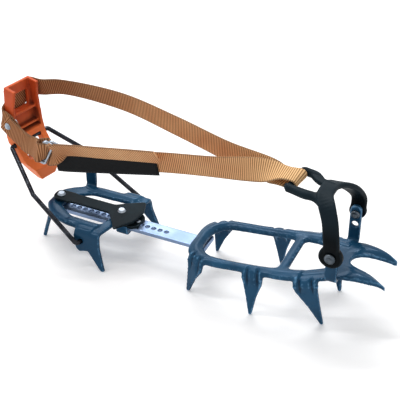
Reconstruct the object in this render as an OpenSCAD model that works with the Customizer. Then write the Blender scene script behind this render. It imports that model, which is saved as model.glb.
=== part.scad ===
// Mountaineering crampon for one boot: folded steel front and heel frames on a drilled link bar,
// a moulded toe harness, a wire heel bail with a moulded lever, and a webbing safety strap.
// Millimetres. +X points to the toe, +Y to the far side of the boot, +Z up, ground at z = 0.

/* [Frame steel] */
// Thickness of the frame steel
sheet = 3.5; // [2.5:0.1:4.5]
// Inside radius of the folds
fold_r = 2; // [1:0.5:4]
// Width of the rib pressed along each rail
rib_w = 4; // [2:0.5:6]
// Height of the pressed rib
rib_h = 1; // [0.4:0.1:1.6]
// Half width of the flat end of each point
tip_half = 1.2; // [0.8:0.2:2.6]
// How far the sides of a point have come in at half its height
point_waist = 0.5; // [0.46:0.02:0.6]

/* [Front frame] */
// Radius of the rocker that lifts the frame towards the toe
rocker_r = 725; // [500:5:1500]
// Where the rocker is lowest
rocker_x = -91; // [-120:1:-60]
// Height of the frame's top at the lowest point of the rocker
rocker_z = 32.7; // [28:0.1:40]
// Rear edge of the front frame
front_rear_x = -52; // [-56:0.5:-48]
// Front edge of the rear cross piece
rear_cross_x = -41; // [-44:0.5:-38]
// Half width of the rails at their outer edge
rail_out = 31; // [29:0.5:34]
// Half width of the rails at their inner edge
rail_in = 21.5; // [18:0.5:23]
// Rear edge of the middle strut
strut_x = 28; // [22:0.5:32]
// Width of the middle strut
strut_w = 8.5; // [6:0.5:11]
// Rear edge of the toe web
web_x = 70; // [66:0.5:72]
// Bottom of the notch between the front points
notch_x = 80.5; // [79:0.5:84]
// Half width of the notch between the front points
notch_half = 9; // [7:0.5:10.5]
// Where the front points start to droop
droop_x = 78; // [76:0.5:79]
// Radius of the droop of the front points
droop_r = 49; // [40:1:70]
// Reach of the front points
front_tip_x = 113; // [105:0.5:120]
// Half distance between the front points at their tips
front_tip_y = 17; // [14:0.5:20]

/* [Toe posts] */
// Middle of the posts along the frame
post_x = 73.5; // [71:0.5:75]
// Width of a post
post_w = 9.5; // [9:0.5:12]
// Half distance between the posts' inner faces
post_in = 26.5; // [25:0.5:28]
// Top of the posts
post_top = 84; // [83:0.5:92]
// Height of the lower holes
hole_low_z = 66.5; // [64:0.5:67]
// Height of the upper holes
hole_high_z = 76.5; // [76.5:0.5:79]
// Diameter of the free holes
hole_d = 5.4; // [4:0.1:6]

/* [Toe harness] */
// Radius of the round end of the near arm
boss_r = 9.5; // [8:0.5:11]
// Radius of the round end of the far arm
far_boss_r = 7; // [6.5:0.25:7.5]
// Thickness of the arms
arm_t = 4.5; // [3.5:0.5:6]
// Width of the arms
arm_w = 13; // [10:0.5:15]
// Width of the two lobes that hold the strap bar
lobe_w = 7.5; // [5:0.5:9]
// Diameter of the strap bar
strap_bar_d = 5; // [4:0.5:6]
// Diameter of the harness rivets
toe_rivet_d = 5; // [4:0.1:6]
// Radius of a rivet head
toe_head_r = 4.4; // [3.6:0.1:5.5]

/* [Link bar] */
// Width of the bar
bar_w = 15; // [12:0.5:17]
// Thickness of the bar
bar_t = 3.5; // [3:0.1:4.5]
// Height of the bar's top
bar_z = 29.4; // [27:0.1:29.6]
// Rear end of the bar
bar_rear_x = -178; // [-182:0.5:-172]
// Spacing of the length holes
hole_pitch = 6; // [5:0.25:8]
// Number of length holes
hole_count = 16; // [8:1:17]
// Diameter of the length holes
length_hole_d = 3.8; // [3:0.1:4.5]
// Width of the head that hooks in the front frame
bar_head_w = 23; // [19:0.5:26]
// Length of the head
bar_head_l = 5; // [4:0.5:7]

/* [Heel frame] */
// Height of the heel frame's top
heel_z = 34; // [33.5:0.1:38]
// Rear edge of the heel frame
heel_rear_x = -189; // [-192:0.5:-187]
// Half width of the heel frame
heel_half = 29.5; // [28:0.5:31]
// Half width of the open middle
heel_open = 19; // [17:0.5:20]
// Front edge on the near side
heel_near_x = -125; // [-128:0.5:-122]
// How far the far side reaches ahead of the near side
heel_skew = 15; // [8:0.5:18]
// Length of the front cross piece
heel_cross_l = 9; // [7:0.5:11]
// Length of the folded ear and point
ear_l = 24; // [22:0.5:28]
// Height of the bail pivot
pivot_z = 24; // [22:0.5:25]
// Distance of the pivot behind the front edge
pivot_back = 16.5; // [15:0.5:18]
// Height of the side post
side_post_top = 58; // [45:1:64]

/* [Length latch] */
// Thickness of the latch plate
plate_t = 2.2; // [1.6:0.1:3]
// Height of the spacer under the rear of the plate
plate_lift = 2.4; // [2.2:0.1:2.8]
// Half width of the plate's narrow neck
neck_half = 6; // [4.5:0.5:7.5]
// Half width of the plate's front
plate_half = 22; // [18:0.5:24]
// Diameter of the lock pin
pin_d = 3; // [2.4:0.1:3.6]
// Height of the pin's end above the bar when the latch is free
pin_gap = 0.5; // [0.3:0.1:1]
// Radius of the plate's rivet heads
latch_head_r = 3.6; // [2.6:0.1:4]
// Length of the black guide on the bar
guide_l = 17; // [14:0.5:20]

/* [Heel bail and lever] */
// Diameter of the bail wire
wire_d = 4; // [3:0.1:4.6]
// Turn of the heel fittings to the bar, in degrees
heel_turn = -14.5; // [-16:0.5:-10]
// Distance of the bail's legs outside the middle of the ears
leg_out = 8; // [7.5:0.25:10]
// Distance of the bail's knees behind its pivots
knee_back = 59; // [52:1:64]
// Height of the bail's knees
knee_z = 51; // [46:1:56]
// How far the far knee lies behind the near one, as a part of the leg
knee_skew = 0.1; // [0:0.01:0.15]
// Distance of the lever's axle behind the pivots
axle_back = 93.5; // [90:0.5:98]
// Height of the lever's axle
axle_z = 71.5; // [68:0.5:75]
// Height of the lever above its shoulders
lever_h = 51; // [45:1:58]
// Half width of the lever at its top
lever_top_half = 14.2; // [12:0.2:15]
// Half width of the lever at its axle
lever_half = 17.5; // [16:0.5:19]
// Wall of the lever
lever_wall = 3; // [2:0.25:4]

/* [Strap] */
// Width of the webbing
strap_w = 19; // [16:0.5:20]
// Thickness of the webbing
strap_t = 1.6; // [1.2:0.1:2]
// Thickness of the black label
label_t = 0.9; // [0.6:0.1:1.2]
// Wire of the buckle rings
ring_d = 2.6; // [2:0.1:3.2]
// Distance of the buckle rings ahead of the lever
ring_out = 50; // [46:1:54]

/* [Hidden] */
$fn = 48;

blue = "#2b5c80";
black = "#1d262b";
steel = "#b9c2cc";
orange = "#c9572f";
tan_web = "#cf955f";

// Small distances that many pieces share
eps = 0.01;
run_gap = 0.05;
soft_gap = 0.35;
fold_out = fold_r + sheet;

// Origin of the part: under the middle of its box, on the ground
ear_mid = heel_half + fold_r + sheet / 2;
leg_half = ear_mid + leg_out;
heel_x = heel_near_x - pivot_back + ear_mid * tan(-heel_turn);
lever_u = -axle_back - 2.5;
lever_rear = lever_u - 8;
shoulder_z = axle_z + 1.5;
strap_behind = 7.38;
origin_x = (front_tip_x + heel_point([lever_rear - strap_behind, -10, 0])[0]) / 2;
origin_y = 6.57;

// Vector helpers
up = [0, 0, 1];
function unit(v) = v / norm(v);
function along(a, b, t) = a + (b - a) * t;
function cr(a, b, c, d, t) = 0.5 * (2 * b + (c - a) * t + (2 * a - 5 * b + 4 * c - d) * t * t
    + (3 * b - a - 3 * c + d) * t * t * t);
// Smooth curve through points, with n steps between neighbours
function spline(p, n) = [
    for (i = [0:len(p) - 2], j = [0:n - 1])
        cr(p[max(i - 1, 0)], p[i], p[i + 1], p[min(i + 2, len(p) - 1)], j / n),
    p[len(p) - 1]];
function flip_y(p) = [for (i = [len(p) - 1:-1:0]) [p[i][0], -p[i][1]]];
// Corner b of a path a-b-c, rounded with radius r in n steps
function round_corner(a, b, c, r, n) =
    let (u = unit(a - b), v = unit(c - b), half = acos(u * v) / 2, mid = b + unit(u + v) * r / sin(half),
        s = b + u * r / tan(half), e = b + v * r / tan(half), sa = atan2(s[1] - mid[1], s[0] - mid[0]),
        d = atan2(e[1] - mid[1], e[0] - mid[0]) - sa, sweep = d > 180 ? d - 360 : d < -180 ? d + 360 : d)
    [for (i = [0:n]) mid + r * [cos(sa + sweep * i / n), sin(sa + sweep * i / n)]];
// Closed outline with each corner rounded: corners are [x, y, radius]
function rounded(p, n = 5) = [
    for (i = [0:len(p) - 1])
        let (a = p[(i + len(p) - 1) % len(p)], b = p[i], c = p[(i + 1) % len(p)])
        each (b[2] > 0 ? round_corner([a[0], a[1]], [b[0], b[1]], [c[0], c[1]], b[2], n) : [[b[0], b[1]]])];

// Strip of webbing or rubber swept along a curve: points, width directions, section corners
module swept(points, widths, section, n) {
    path = spline(points, n);
    wide = spline(widths, n);
    last = len(path) - 1;
    k = len(section);
    rings = [
        for (i = [0:last])
            let (t = unit(path[min(i + 1, last)] - path[max(i - 1, 0)]), b = unit(wide[i] - (wide[i] * t) * t),
                m = cross(t, b))
            for (s = section) path[i] + s[0] * b + s[1] * m];
    sides = [
        for (i = [0:last - 1], j = [0:k - 1])
            let (a = i * k + j, b = i * k + (j + 1) % k, c = a + k, d = b + k)
            each [[a, b, d], [a, d, c]]];
    caps = [for (j = [1:k - 2]) each [[0, j + 1, j], [last * k, last * k + j, last * k + j + 1]]];
    polyhedron(rings, concat([for (f = sides) [f[0], f[2], f[1]]], [for (f = caps) [f[0], f[2], f[1]]]));
}
function flat_section(w, t) = [[-w, -t], [w, -t], [w, t], [-w, t]] / 2;
function soft_section(w, t) = [[-w, -t / 3], [-w + t / 2, -t], [w - t / 2, -t], [w, -t / 3],
    [w, t / 3], [w - t / 2, t], [-w + t / 2, t], [-w, t / 3]] / 2;

module placed() {
    translate([-origin_x, -origin_y, 0]) children();
}

// Places x-y outlines in the x-z plane, with their thickness along +y
module upright(thick) {
    rotate([90, 0, 0]) translate([0, 0, -thick]) linear_extrude(thick) children();
}

// Rocker of the front frame
function rocker_top(x) = rocker_z + rocker_r - sqrt(rocker_r * rocker_r - (x - rocker_x) * (x - rocker_x));
function rocker_pitch(x) = asin((x - rocker_x) / rocker_r);
// Width of the tools that cut across the whole frame
wide_y = 4 * rail_out;
module rocker_band(below, above) {
    translate([rocker_x, wide_y / 2, rocker_z + rocker_r]) rotate([90, 0, 0])
        difference() {
            cylinder(r = rocker_r + below, h = wide_y, $fn = 720);
            translate([0, 0, -1]) cylinder(r = rocker_r - above, h = wide_y + 2, $fn = 720);
        }
}

// Block under the ground, which the points are ground off against
module below_ground() {
    translate([-4 * wide_y, -wide_y, -wide_y]) cube([8 * wide_y, 2 * wide_y, wide_y]);
}

// Outline of the front frame behind the droop, one half
frame_edge = spline([[front_rear_x, 0], [front_rear_x, 12], [front_rear_x + 3, 21], [rear_cross_x + 1, rail_out - 3],
    [-27, rail_out], [5, rail_out], [38, rail_out + 2], [62, rail_out - 2], [droop_x, rail_out - 7]], 4);
window_edge = spline([[rear_cross_x, 0], [rear_cross_x + 1, 10], [rear_cross_x + 6, 17], [rear_cross_x + 14, rail_in - 0.7],
    [-8, rail_in], [strut_x - 6, rail_in], [strut_x, rail_in - 2]], 4);
front_window = rounded([[strut_x + strut_w, rail_in - 0.5, 3], [strut_x + strut_w + 12, rail_in - 2.5, 12],
    [web_x - 2, 11, 9], [web_x, -11, 9], [strut_x + strut_w + 12, -rail_in + 2.5, 12],
    [strut_x + strut_w, -rail_in + 0.5, 3]]);
rib_line = spline([[rear_cross_x - 5, 0], [rear_cross_x - 4, 13], [rear_cross_x + 3, 22], [-25, (rail_in + rail_out) / 2],
    [strut_x, (rail_in + rail_out) / 2 + 0.5], [50, 25], [droop_x - 4, 17]], 4);

module frame_plan() {
    difference() {
        polygon(concat(frame_edge, flip_y(frame_edge)));
        polygon(concat(window_edge, flip_y(window_edge)));
        polygon(front_window);
    }
}

// Side of a line at a distance, on its left for positive distances
function line_side(p, off) = let (last = len(p) - 1) [
    for (i = [0:last]) let (d = unit(p[min(i + 1, last)] - p[max(i - 1, 0)])) p[i] + off * [-d[1], d[0]]];
function backwards(p) = [for (i = [len(p) - 1:-1:0]) p[i]];
module rib_plan() {
    line = concat(flip_y(rib_line), [for (i = [1:len(rib_line) - 1]) rib_line[i]]);
    polygon(concat(line_side(line, rib_w / 2), backwards(line_side(line, -rib_w / 2))));
}

// Front points: plates that droop on an arc from the toe web
droop_z = rocker_top(droop_x);
droop_pitch = rocker_pitch(droop_x);
module front_points() {
    half = rail_out - 7;
    tip_w = 2 * tip_half;
    point_side = [[droop_x - 6, half + 2], [droop_x, half], [droop_x + 9, half - 0.4], [droop_x + 23, half - 2.8],
        [front_tip_x - 3, front_tip_y + tip_w / 2], [front_tip_x, front_tip_y + 0.6], [front_tip_x, front_tip_y - 0.8],
        [front_tip_x - 3, front_tip_y - tip_w / 2 - 1], [notch_x + 19.5, notch_half + 2.4], [notch_x + 9.5, notch_half],
        [notch_x + 5, notch_half * 0.82], [notch_x + 2, notch_half * 0.58], [notch_x + 0.5, notch_half * 0.3]];
    intersection() {
        linear_extrude(2 * droop_z) polygon(concat(point_side, [[notch_x, 0]], flip_y(point_side)));
        translate([droop_x, 0, droop_z]) rotate([0, -droop_pitch, 0]) {
            intersection() {
                translate([0, wide_y / 2, -droop_r]) rotate([90, 0, 0]) difference() {
                    cylinder(r = droop_r, h = wide_y, $fn = 180);
                    translate([0, 0, -1]) cylinder(r = droop_r - sheet, h = wide_y + 2, $fn = 180);
                }
                translate([-1, -wide_y / 2, -droop_r]) cube([droop_r, wide_y, 2 * droop_r]);
            }
        }
    }
}

// The folds lie a little under the frame's top
fold_sink = 0.2;
// The points are a little slimmer than the folds that carry them
point_slim = 0.24;
point_t = sheet - point_slim;
// Folded tab from a frame edge down to a point on the ground.
// edge: where the fold starts on the frame's top; heading: direction of the edge; pitch: its rise;
// long: length of the fold; tip: the end of the point
module down_point(edge, heading, pitch, long, tip) {
    base = edge - [0, 0, fold_sink];
    half = (long - point_slim) / 2;
    ex = -[cos(heading) * cos(pitch), sin(heading) * cos(pitch), sin(pitch)];
    ey = [sin(heading), -cos(heading), 0];
    ez = cross(ex, ey);
    rel = tip - base;
    tx = rel * ex;
    ty = rel * ey - fold_r - sheet / 2;
    tz = rel * ez + fold_out;
    splay = atan(ty / -tz);
    deep = sqrt(ty * ty + tz * tz);
    multmatrix([[ex[0], ey[0], ez[0], base[0]], [ex[1], ey[1], ez[1], base[1]], [ex[2], ey[2], ez[2], base[2]]]) {
        translate([-long / 2, 0, -fold_out]) rotate([90, 0, 90])
            rotate_fold(long);
        translate([0, fold_r + sheet / 2, -fold_out]) rotate([splay, 0, 0]) translate([0, -point_t / 2, 0])
            upright(point_t) polygon([[-half, 0], [-half + 1, -5], [along(-half, tx, point_waist), -deep * 0.5],
                [tx - tip_half, -deep], [tx + tip_half, -deep], [along(half, tx, point_waist), -deep * 0.5],
                [half - 1, -5], [half, 0], [half, 0.4], [-half, 0.4]]);
    }
}
// Quarter round of sheet, from level to hanging down
module rotate_fold(long) {
    linear_extrude(long) intersection() {
        difference() {
            circle(r = fold_out);
            circle(r = fold_r);
        }
        square(fold_out);
    }
}

// Bottom edge of a sheet at a place on the front frame
function on_rocker(x, y) = [x, y, rocker_top(x)];

module toe_posts() {
    foot_z = rocker_top(post_x) + fold_r;
    start_y = post_in - fold_r;
    for (m = [0, 1]) mirror([0, m, 0]) {
        difference() {
            union() {
                translate([post_x - post_w / 2, start_y, foot_z]) rotate([90, 0, 90]) linear_extrude(post_w)
                    intersection() {
                        difference() {
                            circle(r = fold_out);
                            circle(r = fold_r);
                        }
                        translate([0, -fold_out]) square(fold_out);
                    }
                translate([0, post_in, 0]) upright(sheet) {
                    translate([post_x - post_w / 2, foot_z]) square([post_w, post_top - post_w / 2 - foot_z]);
                    translate([post_x, post_top - post_w / 2]) circle(d = post_w);
                }
            }
            translate([post_x, post_in - 1, hole_low_z]) rotate([-90, 0, 0]) cylinder(d = hole_d, h = sheet + 2);
            translate([post_x, post_in - 1, hole_high_z]) rotate([-90, 0, 0])
                cylinder(d = toe_rivet_d + 2 * run_gap, h = sheet + 2);
        }
    }
}

// Slot and lip at the rear of the front frame, which the link bar hooks behind
lip_x = front_rear_x + 2;
slot_play = 1.6;
lip_low = bar_z - bar_t - slot_play - 3;
module bar_lip() {
    lip_half = bar_head_w / 2 + 1.5;
    translate([lip_x, 0, 0]) rotate([90, 0, 90]) linear_extrude(sheet) difference() {
        polygon(rounded([[-lip_half, rocker_top(lip_x) - sheet / 2, 0], [-lip_half, lip_low, 4], [lip_half, lip_low, 4],
            [lip_half, rocker_top(lip_x) - sheet / 2, 0]]));
        translate([-bar_w / 2 - 0.6, bar_z - bar_t - slot_play]) square([bar_w + 1.2, bar_t + 2 * slot_play]);
    }
}

module front_frame() {
    color(blue) placed() difference() {
        union() {
            intersection() {
                linear_extrude(2 * droop_z) frame_plan();
                rocker_band(sheet, 0);
                translate([droop_x, 0, droop_z]) rotate([0, -droop_pitch, 0]) translate([-400, -wide_y / 2, -200])
                    cube([400, wide_y, 400]);
            }
            intersection() {
                linear_extrude(2 * droop_z) rib_plan();
                rocker_band(sheet / 2, rib_h);
            }
            front_points();
            bar_lip();
            toe_posts();
            for (m = [0, 1]) mirror([0, m, 0]) {
                down_point(on_rocker(-38, -rail_out + 6.5), -28, rocker_pitch(-38) * 0.8, 18, [-45.5, -29, 0]);
                down_point(on_rocker(11, -rail_out + 2.5), -1.5, rocker_pitch(11), 18, [12, -35, 0]);
                down_point(on_rocker(54, -rail_out + 1.5), 12, rocker_pitch(54), 20, [68, -22, 0]);
            }
        }
        below_ground();
    }
}

// Toe rivets: through the upper holes of the two posts, on one level line
near_hole = [post_x, -post_in - sheet / 2, hole_high_z];
far_hole = [post_x, post_in + sheet / 2, hole_high_z];
toe_axis = unit(far_hole - near_hole);
boss_gap = sheet / 2 + 0.4;
toe_head_h = 2;
module on_toe_axis(at, out) {
    translate(at) rotate([-90 * out, 0, 0]) children();
}
tail_seat = sheet / 2;
module toe_rivet(side) {
    color(steel) placed() on_toe_axis(side < 0 ? near_hole : far_hole, side) {
        translate([0, 0, -tail_seat - toe_head_h]) cylinder(r1 = toe_head_r - 1, r2 = toe_head_r, h = toe_head_h);
        translate([0, 0, -tail_seat - eps]) cylinder(d = toe_rivet_d, h = tail_seat + boss_gap + arm_t + 0.4);
        translate([0, 0, boss_gap + arm_t + 0.3]) cylinder(r1 = toe_head_r, r2 = toe_head_r - 1.4, h = toe_head_h);
    }
}
module toe_rivet_near() {
    toe_rivet(-1);
}
module toe_rivet_far() {
    toe_rivet(1);
}

// Moulded harness: an arch from boss to boss, with two lobes back to the strap bar
boss_mid = boss_gap + arm_t / 2;
near_boss = near_hole - toe_axis * boss_mid;
far_boss = far_hole + toe_axis * boss_mid;
arch_top = [60, -8, 118.2];
loop_mid = [33.5, -4, 117];
loop_dir = unit([0.15, 1, 0.01]);
loop_half = strap_w / 2 + lobe_w / 2 + 1.8;
loop_near = loop_mid - loop_dir * loop_half;
loop_far = loop_mid + loop_dir * loop_half;
module toe_harness() {
    arch = [near_boss + [0, 0, 2], near_boss + [0, -1, 9], near_boss + [-0.5, -1.5, 17], near_boss + [-3, 0.5, 30.5],
        near_boss + [-7.5, 5.5, 39], arch_top + [1, -10, 0.3], arch_top, arch_top + [0.5, 10, -2.4],
        far_boss + [-8.5, -20.5, 34.5], far_boss + [-3, -10.5, 26], far_boss + [0, -0.5, 13], far_boss + [0, 0, 2]];
    arch_wide = [[1, 0, 0], [1, 0, 0], [1, 0, 0.1], [1, 0, 0.25], [1, 0.1, 0.15], [1, 0.1, 0], [1, 0, 0], [1, -0.1, 0],
        [1, -0.1, 0.2], [1, 0, 0.2], [1, 0, 0], [1, 0, 0]];
    near_lobe = [near_boss + [-4, 1.5, 33], near_boss + [-11, 7.5, 38.5], near_boss + [-19, 13.1, 40], loop_near + [13, -0.4, 0.3],
        loop_near + [-1, 0, 0]];
    far_lobe = [arch_top + [2, 6, -1.2], arch_top + [-9, 9.5, -1.6], loop_far + [7, -2.6, -0.6], loop_far + [-1, 0, 0]];
    color(black) placed() difference() {
        union() {
            swept(arch, arch_wide, soft_section(arm_w, arm_t), 4);
            swept(near_lobe, [[0.4, 0.6, 0.6], [0.3, 0.8, 0.4], [0.2, 1, 0.1], [0, 1, 0], [0, 1, 0]],
                soft_section(lobe_w, arm_t), 4);
            swept(far_lobe, [[0, 1, 0], [0, 1, 0], [0, 1, 0], [0, 1, 0]], soft_section(lobe_w, arm_t), 4);
            on_toe_axis(near_hole, -1) translate([0, 0, boss_gap]) cylinder(r = boss_r, h = arm_t);
            on_toe_axis(far_hole, 1) translate([0, 0, boss_gap]) cylinder(r = far_boss_r, h = arm_t);
            rod(loop_near, loop_far, strap_bar_d);
        }
        for (side = [-1, 1]) on_toe_axis(side < 0 ? near_hole : far_hole, side) {
            translate([0, 0, boss_gap - 1]) cylinder(d = toe_rivet_d + 2 * run_gap, h = arm_t + 4);
            translate([0, 0, boss_gap + arm_t]) cylinder(r = toe_head_r + 1.2, h = 6);
        }
    }
}

// Link bar
bar_front_x = lip_x + sheet + 1.5;
// The lock pin stands over this hole of the bar, counted from the toe
pin_hole = 7;
pin_back = 3.5;
pin_x = heel_front_x(0) - pin_back;
first_hole_x = pin_x + pin_hole * hole_pitch;
function length_hole_x(i) = first_hole_x - i * hole_pitch;
module link_bar() {
    head_x = bar_front_x + bar_head_l;
    outline = rounded([[bar_rear_x, bar_w / 2, bar_w / 2 - 0.5], [bar_rear_x, -bar_w / 2, bar_w / 2 - 0.5],
        [bar_front_x, -bar_w / 2, 0], [bar_front_x, -bar_head_w / 2, 1], [head_x, -bar_head_w / 2, 2],
        [head_x, bar_head_w / 2, 2], [bar_front_x, bar_head_w / 2, 1], [bar_front_x, bar_w / 2, 0]], 8);
    color(steel) placed() difference() {
        translate([0, 0, bar_z - bar_t]) linear_extrude(bar_t) polygon(outline);
        for (i = [0:hole_count - 1]) translate([length_hole_x(i), 0, bar_z - bar_t - 1])
            cylinder(d = length_hole_d, h = bar_t + 2);
    }
}

// Heel frame
heel_far_x = heel_near_x + heel_skew;
function heel_front_x(y) = heel_near_x + heel_skew * (y + heel_half) / (2 * heel_half);
heel_side = [[heel_rear_x, heel_half - 20.5], [heel_rear_x + 5, heel_half - 13.5], [heel_rear_x + 14, heel_half - 6.5],
    [heel_rear_x + 26, heel_half - 1.5], [heel_rear_x + 38, heel_half]];
module heel_plan() {
    curve = spline(heel_side, 4);
    open_rear = heel_rear_x + 14;
    difference() {
        polygon(concat([for (p = curve) p], [[heel_far_x, heel_half], [heel_near_x, -heel_half]], flip_y(curve)));
        polygon(rounded([[open_rear, 8, 3], [open_rear + 15, heel_open - 1, 12],
            [heel_front_x(heel_open) - heel_cross_l, heel_open, 3], [heel_front_x(-heel_open) - heel_cross_l, -heel_open, 3],
            [open_rear + 15, -heel_open + 1, 12], [open_rear, -8, 3]]));
    }
}
module heel_rib_plan() {
    mid = (heel_half + heel_open) / 2;
    for (s = [0, 1]) mirror([0, s]) polygon(rounded([[heel_rear_x + 30, mid - rib_w / 2, 1.5],
        [(s == 0 ? heel_far_x : heel_near_x) - 6, mid - rib_w / 2, 1.5],
        [(s == 0 ? heel_far_x : heel_near_x) - 6, mid + rib_w / 2, 1.5], [heel_rear_x + 30, mid + rib_w / 2, 1.5]]));
}

// Folded ear that carries the bail and runs out into a front point, on one side
module heel_ear(front_x, side, tip) {
    top_z = heel_z - fold_out;
    rear_x = front_x - ear_l;
    tx = tip[0];
    lean = atan((tip[1] - heel_half - fold_r) / top_z);
    mirror([0, side < 0 ? 1 : 0, 0]) {
        translate([rear_x, heel_half, top_z]) rotate([90, 0, 90]) rotate_fold(ear_l);
        translate([0, heel_half + fold_r + sheet, top_z]) rotate([lean, 0, 0]) translate([0, -sheet, 0]) upright(sheet)
            polygon(concat([[rear_x, 0.4], [rear_x, -6]], round_corner([rear_x, -6], [rear_x + 4, -15], [rear_x + 13, -13], 4, 4),
                [[rear_x + 14, -12.5], [tx - tip_half - 1, -top_z], [tx + tip_half, -top_z], [front_x + 0.5, -8], [front_x, 0.4]]));
    }
}
// Rear points, folded from the rounded rear corners
heel_tip_y = 14;
rear_fold_l = 11;
// The folds of the rear points leave room for the bar between them
rear_fold_y = bar_w / 2 + rear_fold_l / 2 + 0.3;
module heel_rear_points() {
    for (m = [0, 1]) mirror([0, m, 0])
        down_point([heel_rear_x + 9.4, -rear_fold_y, heel_z], -62, 0, rear_fold_l, [heel_rear_x - 3, -heel_tip_y, 0]);
}
// Stirrup under the bar
module stirrup(at_x, long, top_z) {
    wide = bar_w / 2 + 0.4;
    low = bar_z - bar_t - 0.4;
    translate([at_x, 0, 0]) rotate([90, 0, 90]) linear_extrude(long) difference() {
        polygon(rounded([[-wide - sheet, top_z, 0], [-wide - sheet, low - sheet, 4], [wide + sheet, low - sheet, 4],
            [wide + sheet, top_z, 0]]));
        translate([-wide, low]) square([2 * wide, top_z - low + 1]);
    }
}
side_post_x = heel_rear_x + 22;
module side_post() {
    post_wide = 10;
    foot = [side_post_x, heel_half - 3.5, heel_z + fold_r];
    translate([foot[0] - post_wide / 2, foot[1], foot[2]]) rotate([90, 0, 90]) linear_extrude(post_wide) intersection() {
        difference() {
            circle(r = fold_out);
            circle(r = fold_r);
        }
        translate([0, -fold_out]) square(fold_out);
    }
    translate([0, foot[1] + fold_r, 0]) upright(sheet) {
        translate([foot[0] - post_wide / 2, foot[2]]) square([post_wide, side_post_top - foot[2] - post_wide / 2]);
        translate([foot[0], side_post_top - post_wide / 2]) circle(d = post_wide);
    }
}

// Frame of the turned heel fittings: origin midway between the bail pivots
function heel_point(p) = [heel_x + p[0] * cos(heel_turn) - p[1] * sin(heel_turn),
    p[0] * sin(heel_turn) + p[1] * cos(heel_turn), p[2]];
module on_heel() {
    translate([heel_x, 0, 0]) rotate([0, 0, heel_turn]) children();
}

module heel_frame() {
    color(blue) placed() difference() {
        union() {
            translate([0, 0, heel_z - sheet]) linear_extrude(sheet) heel_plan();
            translate([0, 0, heel_z - sheet / 2]) linear_extrude(sheet / 2 + rib_h) heel_rib_plan();
            heel_ear(heel_near_x, -1, [heel_near_x + 4.5, heel_half + 6]);
            heel_ear(heel_far_x, 1, [heel_far_x + 4.5, heel_half + 6]);
            heel_rear_points();
            difference() {
                stirrup(heel_front_x(0) - 4, 11, heel_z - sheet / 2);
                translate([0, 0, guide_z]) linear_extrude(wide_y) guide_plan();
            }
            stirrup(heel_rear_x + 6, 8, heel_z - sheet / 2);
            side_post();
        }
        on_heel() translate([0, leg_half + 20, pivot_z]) rotate([90, 0, 0]) cylinder(d = wire_d + 2 * run_gap, h = 2 * leg_half + 40);
        translate([pin_x, 0, 0]) cylinder(d = pin_d + 2, h = 100);
        below_ground();
    }
}

// Latch: plate riveted at its rear, with the lock pin over a hole of the bar
plate_z = heel_z + plate_lift;
plate_rivet_x = heel_rear_x + 9;
latch_shank_r = 1.8;
latch_head_h = 1.6;
// Play of the plate on its rivet, which lets it tip
latch_play = 0.3;
module adjuster_plate() {
    front = pin_x + 16;
    outline = rounded([[plate_rivet_x - 6, 6.5, 5], [plate_rivet_x - 6, -6.5, 5], [plate_rivet_x + 9, -7, 4],
        [plate_rivet_x + 14, -neck_half, 4], [pin_x - 9, -neck_half, 6], [pin_x - 2, -plate_half + 7, 4],
        [pin_x + 5, -plate_half - 3, 1.5], [front, -9, 14], [front + 2, 6, 12], [front - 3, plate_half - 2, 2],
        [pin_x - 2, 11, 6], [pin_x - 9, neck_half, 6], [plate_rivet_x + 14, neck_half, 4], [plate_rivet_x + 9, 7, 4]]);
    color(black) placed() difference() {
        translate([0, 0, plate_z]) linear_extrude(plate_t) polygon(outline);
        translate([plate_rivet_x, 0, 0]) cylinder(r = latch_shank_r + latch_play, h = 100);
        translate([pin_x, 0, 0]) cylinder(d = pin_d, h = 100);
    }
}
module plate_rivet() {
    color(steel) placed() translate([plate_rivet_x, 0, 0]) {
        translate([0, 0, heel_z]) cylinder(r = latch_head_r, h = plate_lift - latch_play);
        translate([0, 0, heel_z - eps]) cylinder(r = latch_shank_r, h = plate_lift + plate_t + latch_play + 2 * eps);
        translate([0, 0, plate_z + plate_t + latch_play]) cylinder(r1 = latch_head_r, r2 = latch_head_r - 1.2, h = latch_head_h);
    }
}
module lock_pin() {
    low = bar_z + pin_gap;
    color(steel) placed() translate([pin_x, 0, 0]) {
        translate([0, 0, low]) cylinder(d1 = pin_d - 0.8, d2 = pin_d, h = 0.6);
        translate([0, 0, low + 0.6]) cylinder(d = pin_d, h = plate_z + plate_t - low - 0.6 + eps);
        translate([0, 0, plate_z - 1]) cylinder(r = pin_d / 2 + 0.4, h = 1);
        translate([0, 0, plate_z + plate_t]) cylinder(r1 = latch_head_r, r2 = latch_head_r - 1.2, h = latch_head_h);
    }
}

// Black guide on the front stirrup, which keeps the bar down ahead of the cross piece
guide_z = bar_z + 0.35;
guide_t = 3;
guide_half = bar_w / 2 + 2.5;
guide_front_x = heel_front_x(0) + guide_l - 2;
guide_rivets_at = [[guide_front_x - 9, -0.5], [guide_front_x - 3, -0.5]];
guide_rivet_r = 1.5;
module guide_plan() {
    polygon(rounded([[heel_front_x(-guide_half) + soft_gap, -guide_half, 1], [guide_front_x - 4, -guide_half, 2],
        [guide_front_x, 4 - guide_half, 2], [guide_front_x, guide_half - 3, 2], [guide_front_x - 3, guide_half, 2],
        [heel_front_x(guide_half) + soft_gap, guide_half, 1]]));
}
module bar_guide() {
    color(black) placed() difference() {
        translate([0, 0, guide_z]) linear_extrude(guide_t) guide_plan();
        for (p = guide_rivets_at) translate([p[0], p[1], 0]) cylinder(r = guide_rivet_r, h = wide_y);
    }
}
module guide_rivets() {
    color(steel) placed() for (p = guide_rivets_at) translate([p[0], p[1], 0]) {
        translate([0, 0, guide_z]) cylinder(r = guide_rivet_r, h = guide_t + eps);
        translate([0, 0, guide_z + guide_t]) cylinder(r1 = guide_rivet_r + 0.7, r2 = guide_rivet_r, h = 0.8);
    }
}

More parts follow.
